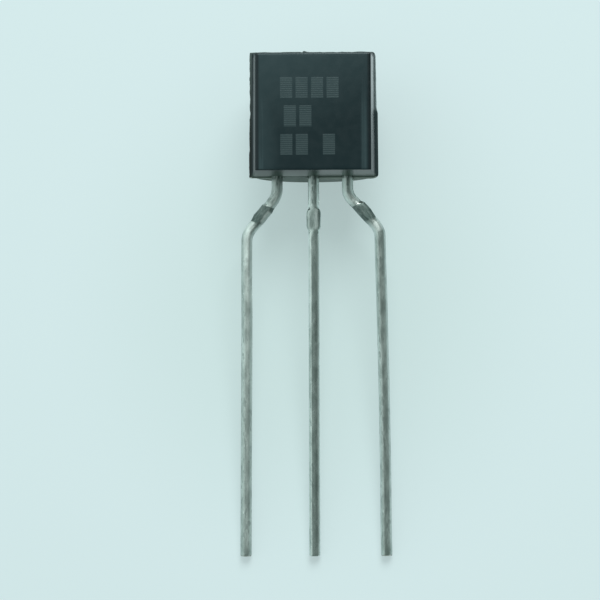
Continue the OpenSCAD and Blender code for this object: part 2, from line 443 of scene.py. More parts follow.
# Steps round the gate stub, up its walls and in from its rim
GATE_POINTS = 80
GATE_LEVELS = 7
GATE_RINGS = 9
# Power of the superellipse that is its section, and how deep its foot reaches into the body
GATE_POWER = 6
GATE_SINK = 0.05
# Least and greatest height of its broken end, as shares of its full height
GATE_LEAST = 0.12
GATE_MOST = 0.97


def gate_stub():
    """The gate, broken off short: a block with a rough end on the body's top, behind the parting line."""
    bm = bmesh.new()
    half_w, half_t = GATE_W / 2, GATE_T / 2
    low = BODY_H - GATE_SINK

    def place(x, y, share):
        """A point of the block at a share of its height. Its broken end is rough and its walls are uneven."""
        top = 0.60 + 0.30 * grain(x, y, 0, 0.13, 4.4) + 0.25 * grain(x, y, 0, 0.05, 8.1) - 0.25 * x / half_w
        z = low + (BODY_H + GATE_H * min(max(top, GATE_LEAST), GATE_MOST) - low) * share
        shrink = 1 - 0.06 * share - 0.03 * (1 + grain(x, y, z, 0.08, 6.6))
        return GATE_X + x * shrink, half_t + y * shrink, z

    edge = []
    for i in range(GATE_POINTS):
        a = 2 * math.pi * i / GATE_POINTS
        reach = (abs(math.cos(a)) ** GATE_POWER + abs(math.sin(a)) ** GATE_POWER) ** (-1 / GATE_POWER)
        edge.append((half_w * reach * math.cos(a), half_t * reach * math.sin(a)))
    previous = None
    for k in range(GATE_LEVELS + 1):
        ring = [bm.verts.new(place(x, y, k / GATE_LEVELS)) for x, y in edge]
        if previous:
            loop_faces(bm, previous, ring)
        else:
            bm.faces.new(list(reversed(ring)))
        previous = ring
    for k in range(1, GATE_RINGS):
        t = 1 - k / GATE_RINGS
        ring = [bm.verts.new(place(x * t, y * t, 1)) for x, y in edge]
        loop_faces(bm, previous, ring)
        previous = ring
    fan(bm, previous, bm.verts.new(place(0, 0, 1)))
    return upright_object("gate_stub", bm)


# The room for an inner solid is moved this far towards the lead frame, so that the cuts overlap
SEAT_OVERLAP = 0.001
# Edges of the cut body that are shorter than this are taken out
EDGE_LEAST = 2e-5
# Edges this near a lead's sides and faces are its exit's, and are sharp if they bend by more than this
EXIT_NEAR_SIDE = 0.06
EXIT_NEAR_FACE = 0.01
EXIT_ANGLE = math.radians(40)


def upright_copy(node):
    """A closed upright copy, in millimetres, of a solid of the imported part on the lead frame."""
    bm = bmesh.new()
    bm.from_mesh(frame["nodes"][node].data)
    bm.transform(Matrix.Translation((0, SEAT_OVERLAP, 0)) @ LIE.inverted())
    bmesh.ops.remove_doubles(bm, verts=bm.verts, dist=POINT_GAP)
    return upright_object(node + "_room", bm)


def at_exit(place):
    """Whether a place of the body is next to one of the leads, near the lead end."""
    beside = any(abs(place.x - x) < LEAD_W / 2 + EXIT_NEAR_SIDE for x in (-LEAD_PITCH, 0, LEAD_PITCH))
    return beside and place.z < EAR_AT and abs(place.y) < LEAD_T / 2 + EXIT_NEAR_FACE


def sharpen_exits(obj):
    """Keeps edges sharp where the leads leave the body, and takes out faces that have shrunk to nothing."""
    bm = bmesh.new()
    bm.from_mesh(obj.data)
    bmesh.ops.dissolve_degenerate(bm, dist=EDGE_LEAST, edges=bm.edges)
    for edge in bm.edges:
        if all(at_exit(v.co) for v in edge.verts) and edge.calc_face_angle(0) > EXIT_ANGLE:
            edge.smooth = False
    bm.to_mesh(obj.data)
    bm.free()


# ---- leads

# Length between a lead's sections, and steps in a bend
STATION_STEP = 0.05
BEND_STEPS = 14
# Steps of a section round a corner, across a face and down an edge
CORNER_STEPS = 5
FACE_STEPS = 10
EDGE_STEPS = 4
# How far the crown reaches towards an edge, as a share of the way
CROWN_REACH = 0.85
# A lead's plain stretches are this much narrower on each side than in the source, and outside the body
# this much thinner on each face, to leave room for lumps. Away from the stub those stand out by this at most.
SIDE_ROOM = 0.002
FACE_ROOM = 0.003
LUMP_MOST = 0.0015
# Heights of the lumps: broad ones, fine ones, and those of the sheared stub
BROAD_LUMP = 0.0022
FINE_LUMP = 0.0012
STUB_LUMP = 0.010
# Length over which a lead's width steps to an ear's or a plate's
STEP_SOFT = 0.024
# A cut end is rounded over this length by this much. Extra sections lie this far from a lead's inner end,
# the first of them also from the straight lead's tip.
END_L = 0.035
END_EASE = 0.022
END_STATIONS = (0.01, 0.022, END_L)
# How much the sheared marks of an outer lead's stub slant
STUB_SKEW = 0.35
# Softness of the touches (painted shade, painted highlights, stub tone) across the lead and along it
TOUCH_SOFT_ACROSS = 0.05
TOUCH_SOFT_DOWN = 0.1


def rounded_path(points, r):
    """Points of a polyline with its corners rounded, as places [x, z]."""
    out = [Vector(points[0])]
    for a, b, c in zip(points, points[1:], points[2:]):
        a, b, c = Vector(a), Vector(b), Vector(c)
        u, v = (a - b).normalized(), (c - b).normalized()
        half = math.acos(u.dot(v)) / 2
        centre = b + (u + v).normalized() * r / math.sin(half)
        start, end = b + u * r / math.tan(half) - centre, b + v * r / math.tan(half) - centre
        turn = math.atan2(start.x * end.y - start.y * end.x, start.dot(end))
        for i in range(BEND_STEPS + 1):
            angle = turn * i / BEND_STEPS
            out.append(centre + Vector((
                start.x * math.cos(angle) - start.y * math.sin(angle),
                start.x * math.sin(angle) + start.y * math.cos(angle))))
    out.append(Vector(points[-1]))
    return out


def stations_along(path, extra):
    """(length, place, direction) along a path, at even steps and at the extra lengths."""
    lengths = [0]
    for a, b in zip(path, path[1:]):
        lengths.append(lengths[-1] + (b - a).length)
    total = lengths[-1]
    steps = int(total / STATION_STEP)
    wanted = {round(total * i / steps, 5) for i in range(steps + 1)}
    wanted |= {round(e, 5) for e in extra if 0 < e < total}
    result, k = [], 0
    for s in sorted(wanted):
        while k < len(lengths) - 2 and s > lengths[k + 1]:
            k += 1
        a, b = path[k], path[k + 1]
        t = (s - lengths[k]) / max(lengths[k + 1] - lengths[k], 1e-9)
        result.append((s, a.lerp(b, min(max(t, 0), 1))))
    out = []
    for i, (s, place) in enumerate(result):
        before = result[max(i - 1, 0)][1]
        after = result[min(i + 1, len(result) - 1)][1]
        out.append((s, place, (after - before).normalized()))
    return out


def section(left, right, half_t, r, crown, crest):
    """Points of a lead's section, anticlockwise from the front's left corner: (across, depth).
    The front and back are crowned, highest at the crest, and the corners are round."""
    points = []
    middle, half = (right - left) / 2, (right + left) / 2
    top = middle + crest * half

    def bulge(u):
        reach = CROWN_REACH * (top + left if u < top else right - top)
        return crown * (1 - min(abs(u - top) / reach, 1) ** 2)

    flat = half_t - crown
    corners = ((-1, -1), (1, -1), (1, 1), (-1, 1))
    for n, (sx, sy) in enumerate(corners):
        cx = (right - r) if sx > 0 else (-left + r)
        cy = sy * (flat - r)
        start = math.atan2(sy, sx) - math.pi / 4
        for i in range(CORNER_STEPS + 1):
            a = start + math.pi / 2 * i / CORNER_STEPS
            x, y = cx + r * math.cos(a), cy + r * math.sin(a)
            points.append((x, y + sy * bulge(x) * min(1, abs(y) / flat)))
        nx, ny = corners[(n + 1) % 4]
        end_x = (right - r) if nx > 0 else (-left + r)
        if sy == ny:
            for i in range(1, FACE_STEPS):
                x = cx + (end_x - cx) * i / FACE_STEPS
                points.append((x, sy * (flat + bulge(x))))
        else:
            for i in range(1, EDGE_STEPS):
                points.append((sx * (right if sx > 0 else left), cy + (-2 * cy) * i / EDGE_STEPS))
    return points


def stub_level(s, low, high, low_slope):
    """1 along the sheared stub, falling to 0 at its sloped ends."""
    return min(min(max((s - low) / STUB_TOP_SLOPE, 0), 1), min(max((high - s) / low_slope, 0), 1))


def lump_at(u, y, s, seed, stub, outside):
    """How far a point of a lead stands out or lies in: broad and fine lumps, and coarse ones on the stub."""
    lump = BROAD_LUMP * grain(u, y, s / 3, 0.2, seed) + FINE_LUMP * grain(u, y, s / 2, 0.07, seed + 5)
    lump += stub * STUB_LUMP * grain(u, y, s / 2, 0.13, seed + 9)
    lump *= outside
    return min(lump, LUMP_MOST) if stub < 0.05 else lump


def lead_mesh(name, path, inner, look):
    """A stamped lead swept down its path. inner(z, reach) gives its left and right reach inside the body."""
    exit_s = path[0].y
    middle = exit_s + STUB_AT + look.stub_moved
    stub = (middle - STUB_L / 2, middle + STUB_L / 2)
    steps = [exit_s - z for z in (EAR_AT, EAR_AT + EAR_H, POST_LOW, FLAG_LOW, TEE_LOW, TEE_TOP)]
    extra = [s + d * STEP_SOFT / 2 for s in [*steps, *stub] for d in range(-3, 4)]
    stations = stations_along(path, [*extra, *END_STATIONS, exit_s + LEAD_LEN - END_STATIONS[0]])
    total = stations[-1][0]
    bm = bmesh.new()
    layers = {n: bm.verts.layers.float.new(n) for n in ("stub", "cut", "dark", "pale", "satin")}
    space_layer = bm.verts.layers.float_vector.new("lead_space")

    def paint(v, u, y, s):
        """Writes how a vertex looks and where it is on the lead. The material reads both."""
        marks = stub_level(s - look.outer * STUB_SKEW * u, *stub, look.low_slope)
        v[layers["stub"]] = smoothstep(0.1, 0.2, marks)
        v[layers["stub"]] *= look.stub_tone
        v[space_layer] = (u, y, s)
        # painted shade: darker inside the body and where the lead leaves it
        v[layers["dark"]] = 0.8 * smoothstep(-0.2, 0.2, exit_s - s)
        v[layers["satin"]] = look.satin
        for layer, u_low, u_high, down_from, down_to, amount in look.touches:
            share = window(u_low, u_high, TOUCH_SOFT_ACROSS, u)
            share *= window(down_from, down_to, TOUCH_SOFT_DOWN, s - exit_s)
            v[layers[layer]] = min(max(v[layers[layer]] + amount * share, 0), 1)

    previous = first = None
    for s, place, along in stations:
        across = Vector((-along.y, along.x))
        left = right = LEAD_W / 2 - SIDE_ROOM
        z = exit_s - s
        outside = smoothstep(-0.05, 0.1, -z)
        level = plate = 0
        if z > 0:
            left, right = inner(z, left)
            plate = smoothstep(0.02, 0.1, max(left, right) - LEAD_W / 2)
        else:
            level = stub_level(s, *stub, look.low_slope)
            left, right = left + look.stub_sides[0] * level, right + look.stub_sides[1] * level
        r = look.corner_r + (look.neck_r - look.corner_r) * window(-0.95, 0.1, 0.25, z)
        r = PLATE_CORNER_R + (r - PLATE_CORNER_R) * (1 - plate)
        crown = LEAD_CROWN * (1 - plate) * (1 - 0.5 * level)
        half_t = LEAD_T / 2 - FACE_ROOM * outside
        end = min(s, total - s)
        if end < END_L:
            ease = END_EASE * (1 - math.sqrt(max(0, 1 - (1 - end / END_L) ** 2)))
            left, right, half_t = left - ease, right - ease, half_t - ease
        ring = []
        for u, y in section(left, right, half_t, r, crown, look.crest(z)):
            n = Vector((u, y)).normalized()
            lump = lump_at(u, y, s, look.seed, level, outside)
            spot = place + across * (u + n.x * lump)
            v = bm.verts.new((spot.x + look.shift(z), y + n.y * lump, spot.y))
            paint(v, u, y, s)
            ring.append(v)
        if previous is None:
            first = ring
        else:
            loop_faces(bm, previous, ring)
        previous = ring
    for ring in (first, previous):
        cap = bm.verts.new(sum((v.co for v in ring), Vector()) / len(ring))
        cap[layers["cut"]] = 1
        fan(bm, ring, cap)
    for v in previous:
        v[layers["cut"]] = 0.5
    bmesh.ops.remove_doubles(bm, verts=bm.verts, dist=POINT_GAP)
    return upright_object(name, bm)


# How one lead looks. crest(z): where its crown is highest, from -1 at its left edge to 1 at its right.
# shift(z): the little by which a real lead wanders sideways. corner_r and neck_r: its corner radius, and
# that next to the body. stub_sides: how far the sheared stub stands out to the left and right. stub_moved:
# how much lower than STUB_AT it is. low_slope: the length of its lower slope. stub_tone: how dark it is.
# outer: the side that faces away from the other leads. satin: how matt its tin is. touches: painted shade and
# dark reflections (layer dark), painted highlights (layer pale) and stub tone (layer stub), as (layer, from
# and to across, from and to down from the body, amount).
Look = namedtuple(
    "Look", "crest shift corner_r neck_r stub_sides stub_moved low_slope stub_tone outer satin touches seed")

EMITTER_TOUCHES = (
    ("dark", -0.2, 0.2, 0.1, 1.0, 0.55),
    ("dark", 0.0, 0.2, -0.1, 0.22, 0.9),
    ("pale", 0.08, 0.3, 0.25, 1.05, 0.4),
    ("pale", -0.3, -0.12, 0.15, 0.8, 0.4),
    ("pale", 0.09, 0.3, 1.35, 1.8, 0.5),
    ("stub", 0.09, 0.3, 1.35, 1.8, -0.7),
    ("stub", 0.0, 0.12, 1.85, 2.0, 0.6),
    ("stub", -0.2, 0.08, 1.65, 1.9, 0.3),
    ("pale", -0.3, -0.05, 2.0, 2.3, 0.35),
    ("pale", -0.09, 0.0, 2.3, 3.5, 0.3),
    ("pale", -0.09, 0.0, 3.5, 4.7, 0.12),
    ("pale", 0.05, 0.2, 2.4, 5.0, 0.15),
    ("pale", 0.05, 0.2, 2.4, 13.6, 0.12),
    ("dark", -0.2, 0.03, 7.5, 13.6, 0.12),
)
BASE_TOUCHES = (
    ("dark", -0.08, 0.08, -0.1, 0.25, 0.8),
    ("dark", -0.06, -0.03, 0.4, 0.95, 0.9),
    ("dark", -0.06, 0.12, 0.3, 1.05, 0.15),
    ("pale", -0.3, -0.12, 0.1, 1.05, 0.9),
    ("pale", 0.12, 0.3, 0.1, 1.05, 0.9),
    ("pale", 0.06, 0.13, 1.2, 1.85, 0.3),
    ("stub", -0.3, -0.12, 1.5, 1.85, 0.4),
    ("stub", 0.18, 0.3, 1.2, 1.85, 0.4),
    ("pale", -0.3, -0.12, 2.1, 5.4, 0.4),
    ("pale", -0.04, 0.04, 2.1, 13.6, 0.1),
    ("pale", 0.13, 0.3, 2.1, 13.6, 0.4),
    ("dark", 0.04, 0.10, 4.5, 13.6, 0.45),
)
COLLECTOR_TOUCHES = (
    ("dark", -0.03, 0.04, -0.1, 0.3, 0.75),
    ("dark", -0.03, 0.03, 0.45, 0.8, 0.65),
    ("pale", -0.3, -0.10, 0.1, 0.9, 0.9),
    ("pale", 0.11, 0.3, 0.1, 1.0, 0.9),
    ("stub", -0.2, 0.25, 1.6, 1.85, 0.4),
    ("pale", -0.3, 0.3, 2.05, 2.3, 0.35),
    ("dark", -0.11, 0.0, 2.5, 13.6, 0.3),
    ("pale", 0.08, 0.3, 2.5, 13.6, 0.14),
)


def outer_path(side, start_z, angle):
    """Middle line of an outer lead: side is -1 for the left one and 1 for the right one."""
    bend_1 = (LEAD_PITCH, -NECK_L)
    bend_2 = (FORMED_PITCH, -NECK_L - (FORMED_PITCH - LEAD_PITCH) / math.tan(angle))
    points = [(LEAD_PITCH, start_z), bend_1, bend_2, (TIP_PITCH, -LEAD_LEN)]
    return rounded_path([(side * x, z) for x, z in points], BEND_R)


def inner_reach(lead_x, plate_low, plate_left, plate_right):
    """Gives a lead's reach to its left and right inside the body, where it has its ears and its plate."""
    def reaches(z, reach):
        plate = smoothstep(plate_low - STEP_SOFT / 2, STEP_SOFT, z)
        reach += (EAR_W / 2 - reach) * window(EAR_AT, EAR_AT + EAR_H, STEP_SOFT, z)
        left = reach + (lead_x - plate_left - reach) * plate
        return left, reach + (plate_right - lead_x - reach) * plate
    return reaches


def neck_shift(z):
    """The outer leads leave the body a little to the left of where the source has them."""
    return -0.05 * window(-0.6, 0, 0.8, z)


def emitter_shift(z):
    return neck_shift(z) + 0.004 * max(-z - 3, 0) - 0.016 * window(-4, -2.6, 1.5, z)


def collector_shift(z):
    return neck_shift(z) + 0.018 * window(-10.5, -8, 2.5, z) - 0.028 * window(-3, -2.2, 2.5, z)


def base_shift(z):
    return -0.01 - 0.002 * max(-z - 3, 0)


def emitter_crest(z):
    return 0.3 - 0.5 * smoothstep(2.6, 1.5, -z) + 0.12 * grain(0, 0, z, 2.5, 4)


def base_crest(z):
    return 0.2 - 0.63 * smoothstep(1.85, 0.4, -z) + 0.15 * grain(0, 0, z, 2.5, 6)


def collector_crest(z):
    return -0.6 + 0.1 * grain(0, 0, z, 2.5, 8)


# ---- materials

class Graph:
    """A material's or the world's node graph. A value is linked if it is an output, and else set."""

    def __init__(self, owner):
        owner.use_nodes = True
        self.tree = owner.node_tree
        self.tree.nodes.clear()

    def node(self, kind):
        return self.tree.nodes.new("ShaderNode" + kind)

    def put(self, socket, value):
        if isinstance(value, bpy.types.NodeSocket):
            self.tree.links.new(value, socket)
        elif socket.type == "RGBA":
            socket.default_value = (*value, 1)
        else:
            socket.default_value = value

    def feed(self, sockets, values):
        for socket, value in zip(sockets, values):
            self.put(socket, value)

    def fill(self, node, **values):
        """Puts values on the inputs that have these names, with _ for a space."""
        for name, value in values.items():
            self.put(node.inputs[name.replace("_", " ")], value)
        return node

    def math(self, operation, *values):
        node = self.node("Math")
        node.operation = operation
        self.feed(node.inputs, values)
        return node.outputs[0]

    def plus(self, a, b):
        return self.math("ADD", a, b)

    def minus(self, a, b):
        return self.math("SUBTRACT", a, b)

    def times(self, a, b):
        return self.math("MULTIPLY", a, b)

    def largest(self, first, *others):
        for other in others:
            first = self.math("MAXIMUM", first, other)
        return first

    def span(self, value, low, high, to_low=0.0, to_high=1.0):
        """Maps a value from one range to another, smoothly and held at the ends."""
        node = self.node("MapRange")
        node.interpolation_type = "SMOOTHSTEP"
        limits = {"From_Min": low, "From_Max": high, "To_Min": to_low, "To_Max": to_high}
        return self.fill(node, Value=value, **limits).outputs["Result"]

    def inside(self, value, low, high, soft):
        """1 where the value lies between low and high."""
        over = self.span(value, low - soft / 2, low + soft / 2)
        return self.times(over, self.span(value, high - soft / 2, high + soft / 2, 1, 0))

    def mix(self, factor, a, b):
        node = self.node("Mix")
        self.feed((node.inputs[0], node.inputs[2], node.inputs[3]), (factor, a, b))
        return node.outputs[0]

    def blend(self, factor, a, b):
        """Mixes two colours."""
        node = self.node("Mix")
        node.data_type = "RGBA"
        self.feed((node.inputs[0], node.inputs[6], node.inputs[7]), (factor, a, b))
        return node.outputs[2]

    def vector_math(self, operation, *values):
        node = self.node("VectorMath")
        node.operation = operation
        self.feed(node.inputs, values)
        return node.outputs

    def split(self, vector):
        return self.fill(self.node("SeparateXYZ"), Vector=vector).outputs

    def scaled(self, vector, scale, place=(0, 0, 0)):
        return self.fill(self.node("Mapping"), Vector=vector, Scale=scale, Location=place).outputs[0]

    def noise(self, vector, scale, detail=4, rough=0.5):
        node = self.node("TexNoise")
        return self.fill(node, Vector=vector, Scale=scale, Detail=detail, Roughness=rough).outputs["Fac"]

    def bump(self, height, distance, strength=1.0):
        return self.fill(self.node("Bump"), Height=height, Distance=distance, Strength=strength)

    def attribute(self, name, output="Fac"):
        node = self.node("Attribute")
        node.attribute_name = name
        return node.outputs[output]

    def upright_place(self):
        """The shaded point's upright place, in millimetres."""
        node = self.node("Mapping")
        node.vector_type = "TEXTURE"
        place, turn, scale = LIE.decompose()
        where = self.node("TexCoord").outputs["Object"]
        self.fill(node, Vector=where, Location=place, Rotation=turn.to_euler(), Scale=scale)
        return node.outputs["Vector"]


def material(name):
    """A new material with a Principled shader: (material, its graph, the shader)."""
    mat = bpy.data.materials.new(name)
    g = Graph(mat)
    shader = g.node("BsdfPrincipled")
    g.fill(g.node("OutputMaterial"), Surface=shader.outputs["BSDF"])
    return mat, g, shader


# Marking on the flat: rows of plain blocks. Each row is its low edge and the left edges of its blocks.
MARK_BLOCK_W = 0.43
MARK_BLOCK_H = 0.74
MARK_ROWS = (
    (2.69, (-1.17, -0.62, -0.07, 0.48)),
    (1.68, (-1.04, -0.49)),
    (0.67, (-1.17, -0.62, 0.34)),
)
MARK_SOFT = 0.035
# Distance between the fine lines that the marking is drawn in, and its depth
MARK_LINE_STEP = 0.075
MARK_DEPTH = 0.006
# Painted reflections: pale bands along the flat's long edges, from and to across
LEFT_SHEEN_BAND = (-1.95, -1.76)
RIGHT_SHEEN_BAND = (1.71, 1.89)

# Colours of the epoxy: its two ground tones, specks, painted light on the flat, marking, painted dark
# reflections along the flat's side edges, and painted reflected light at the lead end
EPOXY_DEEP = (0.0006, 0.0085, 0.0115)
EPOXY_CLOUD = (0.0022, 0.0120, 0.0155)
EPOXY_SPECK = (0.015, 0.030, 0.034)
EPOXY_PAINTED_LIGHT = (0.027, 0.050, 0.055)
EPOXY_MARK = (0.052, 0.080, 0.084)
EPOXY_PAINTED_DARK_EDGE = (0.001, 0.004, 0.006)
EPOXY_LEAD_END_PAINTED_LIGHT = (0.055, 0.084, 0.066)
EPOXY_LEAD_END_PAINTED_LIGHT_PALER = (0.085, 0.118, 0.098)
# Colours of the flash: low and high on each side, at the lead end and along the top. The flash is the same
# dark compound; these tones paint light and shade on it, lighter higher up, most on the right, palest at the
# lead end
FLASH_LEFT_LOW = (0.010, 0.015, 0.013)
FLASH_LEFT_HIGH = (0.065, 0.088, 0.083)
FLASH_RIGHT_LOW = (0.011, 0.025, 0.026)
FLASH_RIGHT_HIGH = (0.17, 0.22, 0.22)
FLASH_LEAD_END = (0.34, 0.40, 0.36)
FLASH_TOP = (0.060, 0.080, 0.078)
# Tint of its highlights, refractive index, and depth of its grain in millimetres
EPOXY_TINT = (0.84, 1, 1)
EPOXY_IOR = 1.46
SPECK_DEPTH = 0.0012


def marking(g, x, z):
    """How strongly the flat is marked: plain blocks, drawn in fine level lines."""
    rows = []
    for low, lefts in MARK_ROWS:
        blocks = g.largest(*[g.inside(x, left, left + MARK_BLOCK_W, MARK_SOFT) for left in lefts])
        rows.append(g.times(blocks, g.inside(z, low, low + MARK_BLOCK_H, MARK_SOFT)))
    lines = g.math("SINE", g.times(z, 2 * math.pi / MARK_LINE_STEP))
    return g.times(g.largest(*rows), g.span(lines, -0.6, 0.6, 0.55, 1))


def painted_light_and_sheen(g, at, x, z):
    """Painted light on the flat: paler towards its upper left and along its left edge, where the light comes
    from, and a painted reflection in a streaky band up each long edge that fades towards the top."""
    corner = g.minus(z, g.times(x, 0.35))
    painted_light = g.largest(g.span(corner, 1.0, 5.4, 0, 0.85), g.span(x, -1.0, -1.85, 0, 0.55))
    streaks = g.noise(g.scaled(at, (9, 1, 0.35)), 1.0, 4, 0.6)
    left = g.inside(x, *LEFT_SHEEN_BAND, 0.14)
    right = g.times(g.inside(x, *RIGHT_SHEEN_BAND, 0.12), 0.85)
    sheen_bands = g.times(g.largest(left, right), g.span(z, 4.3, 1.2, 0.2, 1.0))
    sheen_bands = g.times(sheen_bands, g.span(streaks, 0.30, 0.60, 0.45, 1.0))
    return g.largest(painted_light, g.times(sheen_bands, 1.15))


def flash_tone_and_painted_light(g, x, z):
    """Colour of the flash and of the broken gate: the compound's dark tone with painted light and shade."""
    height = g.span(z, 1.0, 4.2)
    left = g.blend(height, FLASH_LEFT_LOW, FLASH_LEFT_HIGH)
    right = g.blend(g.span(z, 2.3, 2.6), FLASH_RIGHT_LOW, FLASH_RIGHT_HIGH)
    tone = g.blend(g.span(x, -0.5, 0.5), left, right)
    tone = g.blend(g.span(z, 0.02, -0.02), tone, FLASH_LEAD_END)
    return g.blend(g.span(z, BODY_H - 0.03, BODY_H + 0.02), tone, FLASH_TOP)


def epoxy_roughness(g, at, x, z, on_flat, flash):
    """Roughness: the right wall is polished, the flat is matt, and the flash and both ends are duller."""
    polish = g.times(g.span(x, -0.5, 0.5), g.span(z, 0.6, 3.6, 0.3, 1))
    wall = g.minus(0.42, g.times(polish, 0.31))
    wall = g.plus(wall, g.span(z, BODY_H - 0.22, BODY_H - 0.14, 0, 0.3))
    matt = g.span(g.noise(at, 3.2, 4), 0.3, 0.7, 0.32, 0.40)
    end = g.times(g.span(z, 0.02, 0.005, 0, 1), 0.28)
    return g.plus(g.mix(on_flat, wall, matt), g.largest(g.times(flash, 0.35), end))


def epoxy_material():
    mat, g, shader = material("moulding_compound")
    at = g.upright_place()
    x, y, z = g.split(at)
    on_flat = g.span(y, -FLAT_DEPTH + 0.012, -FLAT_DEPTH + 0.002)
    speck = g.noise(at, 14, 3, 0.6)
    mark = g.times(marking(g, x, z), on_flat)

    # how far a point lies outside the parting line, at the sides and then all round
    aside = g.plus(g.math("ABSOLUTE", x), g.times(z, math.tan(LEAN)))
    aside = g.minus(aside, BODY_W / 2)
    outside = g.largest(aside, g.times(z, -1.0), g.minus(z, BODY_H))
    flash = g.span(outside, 0.005, 0.04)
    # painted dark reflection: a dark line along each of the flat's side edges
    near_flat = g.span(y, -FLAT_DEPTH + 0.06, -FLAT_DEPTH + 0.03, 0, 0.85)
    painted_dark_edge = g.times(g.span(aside, -0.30, -0.22), near_flat)

    base = g.blend(g.noise(at, 0.9, 5, 0.55), EPOXY_DEEP, EPOXY_CLOUD)
    base = g.blend(g.span(speck, 0.60, 0.78, 0, 0.3), base, EPOXY_SPECK)
    # painted light and painted reflections on the flat
    base = g.blend(g.times(painted_light_and_sheen(g, at, x, z), on_flat), base, EPOXY_PAINTED_LIGHT)
    base = g.blend(g.times(mark, 0.65), base, EPOXY_MARK)
    # painted dark reflection along the flat's side edges
    base = g.blend(painted_dark_edge, base, EPOXY_PAINTED_DARK_EDGE)
    # painted reflected light at the lead end, paler between the left and middle leads
    lead_end_painted_light = g.blend(g.inside(x, -1.2, -0.55, 0.3), EPOXY_LEAD_END_PAINTED_LIGHT, EPOXY_LEAD_END_PAINTED_LIGHT_PALER)
    base = g.blend(g.span(z, 0.18, 0.0), base, lead_end_painted_light)
    # the flash's dark tone with painted light and shade
    base = g.blend(flash, base, flash_tone_and_painted_light(g, x, z))

    etched = g.bump(mark, MARK_DEPTH * MM, 0.6)
    grainy = g.bump(speck, SPECK_DEPTH * MM)
    g.fill(grainy, Normal=etched.outputs["Normal"])
    g.fill(shader, Base_Color=base, Roughness=epoxy_roughness(g, at, x, z, on_flat, flash),
           IOR=EPOXY_IOR, Specular_Tint=EPOXY_TINT, Normal=grainy.outputs["Normal"])
    return mat


# Colours of the tin: its two ground tones, spots, bright specks, painted shade and dark reflections, painted
# highlights and sheared stubs
TIN_DEEP = (0.39, 0.46, 0.43)
TIN_CLOUD = (0.66, 0.75, 0.71)
TIN_SPOT = (0.24, 0.30, 0.28)
TIN_SPECK = (0.85, 0.94, 0.91)
TIN_PAINTED_SHADE = (0.07, 0.10, 0.09)
TIN_PAINTED_HIGHLIGHT = (0.88, 0.97, 0.94)
TIN_SHEARED = (0.080, 0.125, 0.115)
# Colour of the copper alloy where a lead is cut
COPPER_CUT = (0.42, 0.33, 0.26)
TIN_DEPTH = 0.002


def tin_material():
    mat, g, shader = material("tinned_lead")
    at = g.scaled(g.attribute("lead_space", "Vector"), (1, 1, 0.3))
    stub, cut, dark, pale = [g.attribute(name) for name in ("stub", "cut", "dark", "pale")]
    mottle = g.noise(at, 5, 5, 0.6)
    fine = g.noise(at, 22, 4, 0.6)
    base = g.blend(g.span(mottle, 0.32, 0.68), TIN_DEEP, TIN_CLOUD)
    base = g.blend(g.span(g.noise(at, 10, 3, 0.6), 0.50, 0.66, 0, 0.7), base, TIN_SPOT)
    base = g.blend(g.span(g.noise(at, 16, 3, 0.7), 0.62, 0.72, 0, 0.6), base, TIN_SPECK)
    streak = g.span(g.noise(at, 9, 4, 0.6), 0.35, 0.65, 0.35, 1.0)
    # painted shade and dark reflections, in streaks
    base = g.blend(g.times(dark, streak), base, TIN_PAINTED_SHADE)
    # painted highlights, on the leads' corners and along them
    base = g.blend(pale, base, TIN_PAINTED_HIGHLIGHT)
    base = g.blend(g.times(stub, g.span(fine, 0.3, 0.7, 0.75, 1.0)), base, TIN_SHEARED)
    base = g.blend(cut, base, COPPER_CUT)
    rough = g.plus(g.span(mottle, 0.3, 0.7, 0.16, 0.27), g.times(stub, 0.22))
    rough = g.plus(rough, g.largest(g.times(dark, 0.15), g.times(pale, 0.45)))
    rough = g.plus(rough, g.attribute("satin"))
    g.fill(shader, Base_Color=base, Metallic=1.0, Roughness=rough,
           Normal=g.bump(fine, TIN_DEPTH * MM).outputs["Normal"])
    return mat


# The chip seen from its own middle: where its front begins, the edge of its field of tracks, the distance
# between the tracks, and the edges of its two bond pads
DIE_FRONT = (-0.096, -0.099)
TRACK_FIELD = (0.245, 0.240)
TRACK_STEP = 0.05
PAD_EDGES = (0.07, 0.21)
WAFER_DEEP = (0.045, 0.050, 0.075)
WAFER_CLOUD = (0.085, 0.085, 0.110)
ALUMINIUM = (0.78, 0.79, 0.80)
DIE_DEPTH = 0.002


def silicon_material():
    """Polished chip with a comb of aluminium tracks and two bond pads on its front, and sawn sides."""
    mat, g, shader = material("silicon")
    at = g.upright_place()
    low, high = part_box("silicon_die")
    middle = LIE.inverted() @ ((Vector(low) + Vector(high)) / 2)
    x, y, z = g.split(g.vector_math("SUBTRACT", at, middle)[0])
    front = g.span(y, *DIE_FRONT)
    tracks = g.span(g.math("SINE", g.times(x, 2 * math.pi / TRACK_STEP)), -0.1, 0.1)
    reach = g.largest(g.math("ABSOLUTE", x), g.math("ABSOLUTE", z))
    field = g.span(reach, *TRACK_FIELD)
    pads = []
    for side in (-1, 1):
        across = g.inside(g.times(x, side), *PAD_EDGES, 0.005)
        pads.append(g.times(across, g.inside(g.times(z, -side), *PAD_EDGES, 0.005)))
    metal = g.times(g.largest(*pads, g.times(tracks, field)), front)
    sides = g.minus(1.0, front)
    sawn = g.times(sides, g.span(g.noise(at, 60, 3, 0.7), 0.3, 0.7))
    wafer = g.blend(g.noise(at, 7, 4), WAFER_DEEP, WAFER_CLOUD)
    g.fill(shader, Base_Color=g.blend(metal, wafer, ALUMINIUM), Metallic=g.largest(metal, 0.35),
           Roughness=g.plus(g.times(sides, 0.35), 0.14),
           Normal=g.bump(g.plus(sawn, metal), DIE_DEPTH * MM).outputs["Normal"])
    return mat


ADHESIVE_DEEP = (0.50, 0.49, 0.46)
ADHESIVE_CLOUD = (0.74, 0.73, 0.70)
FLAKE_DEPTH = 0.003


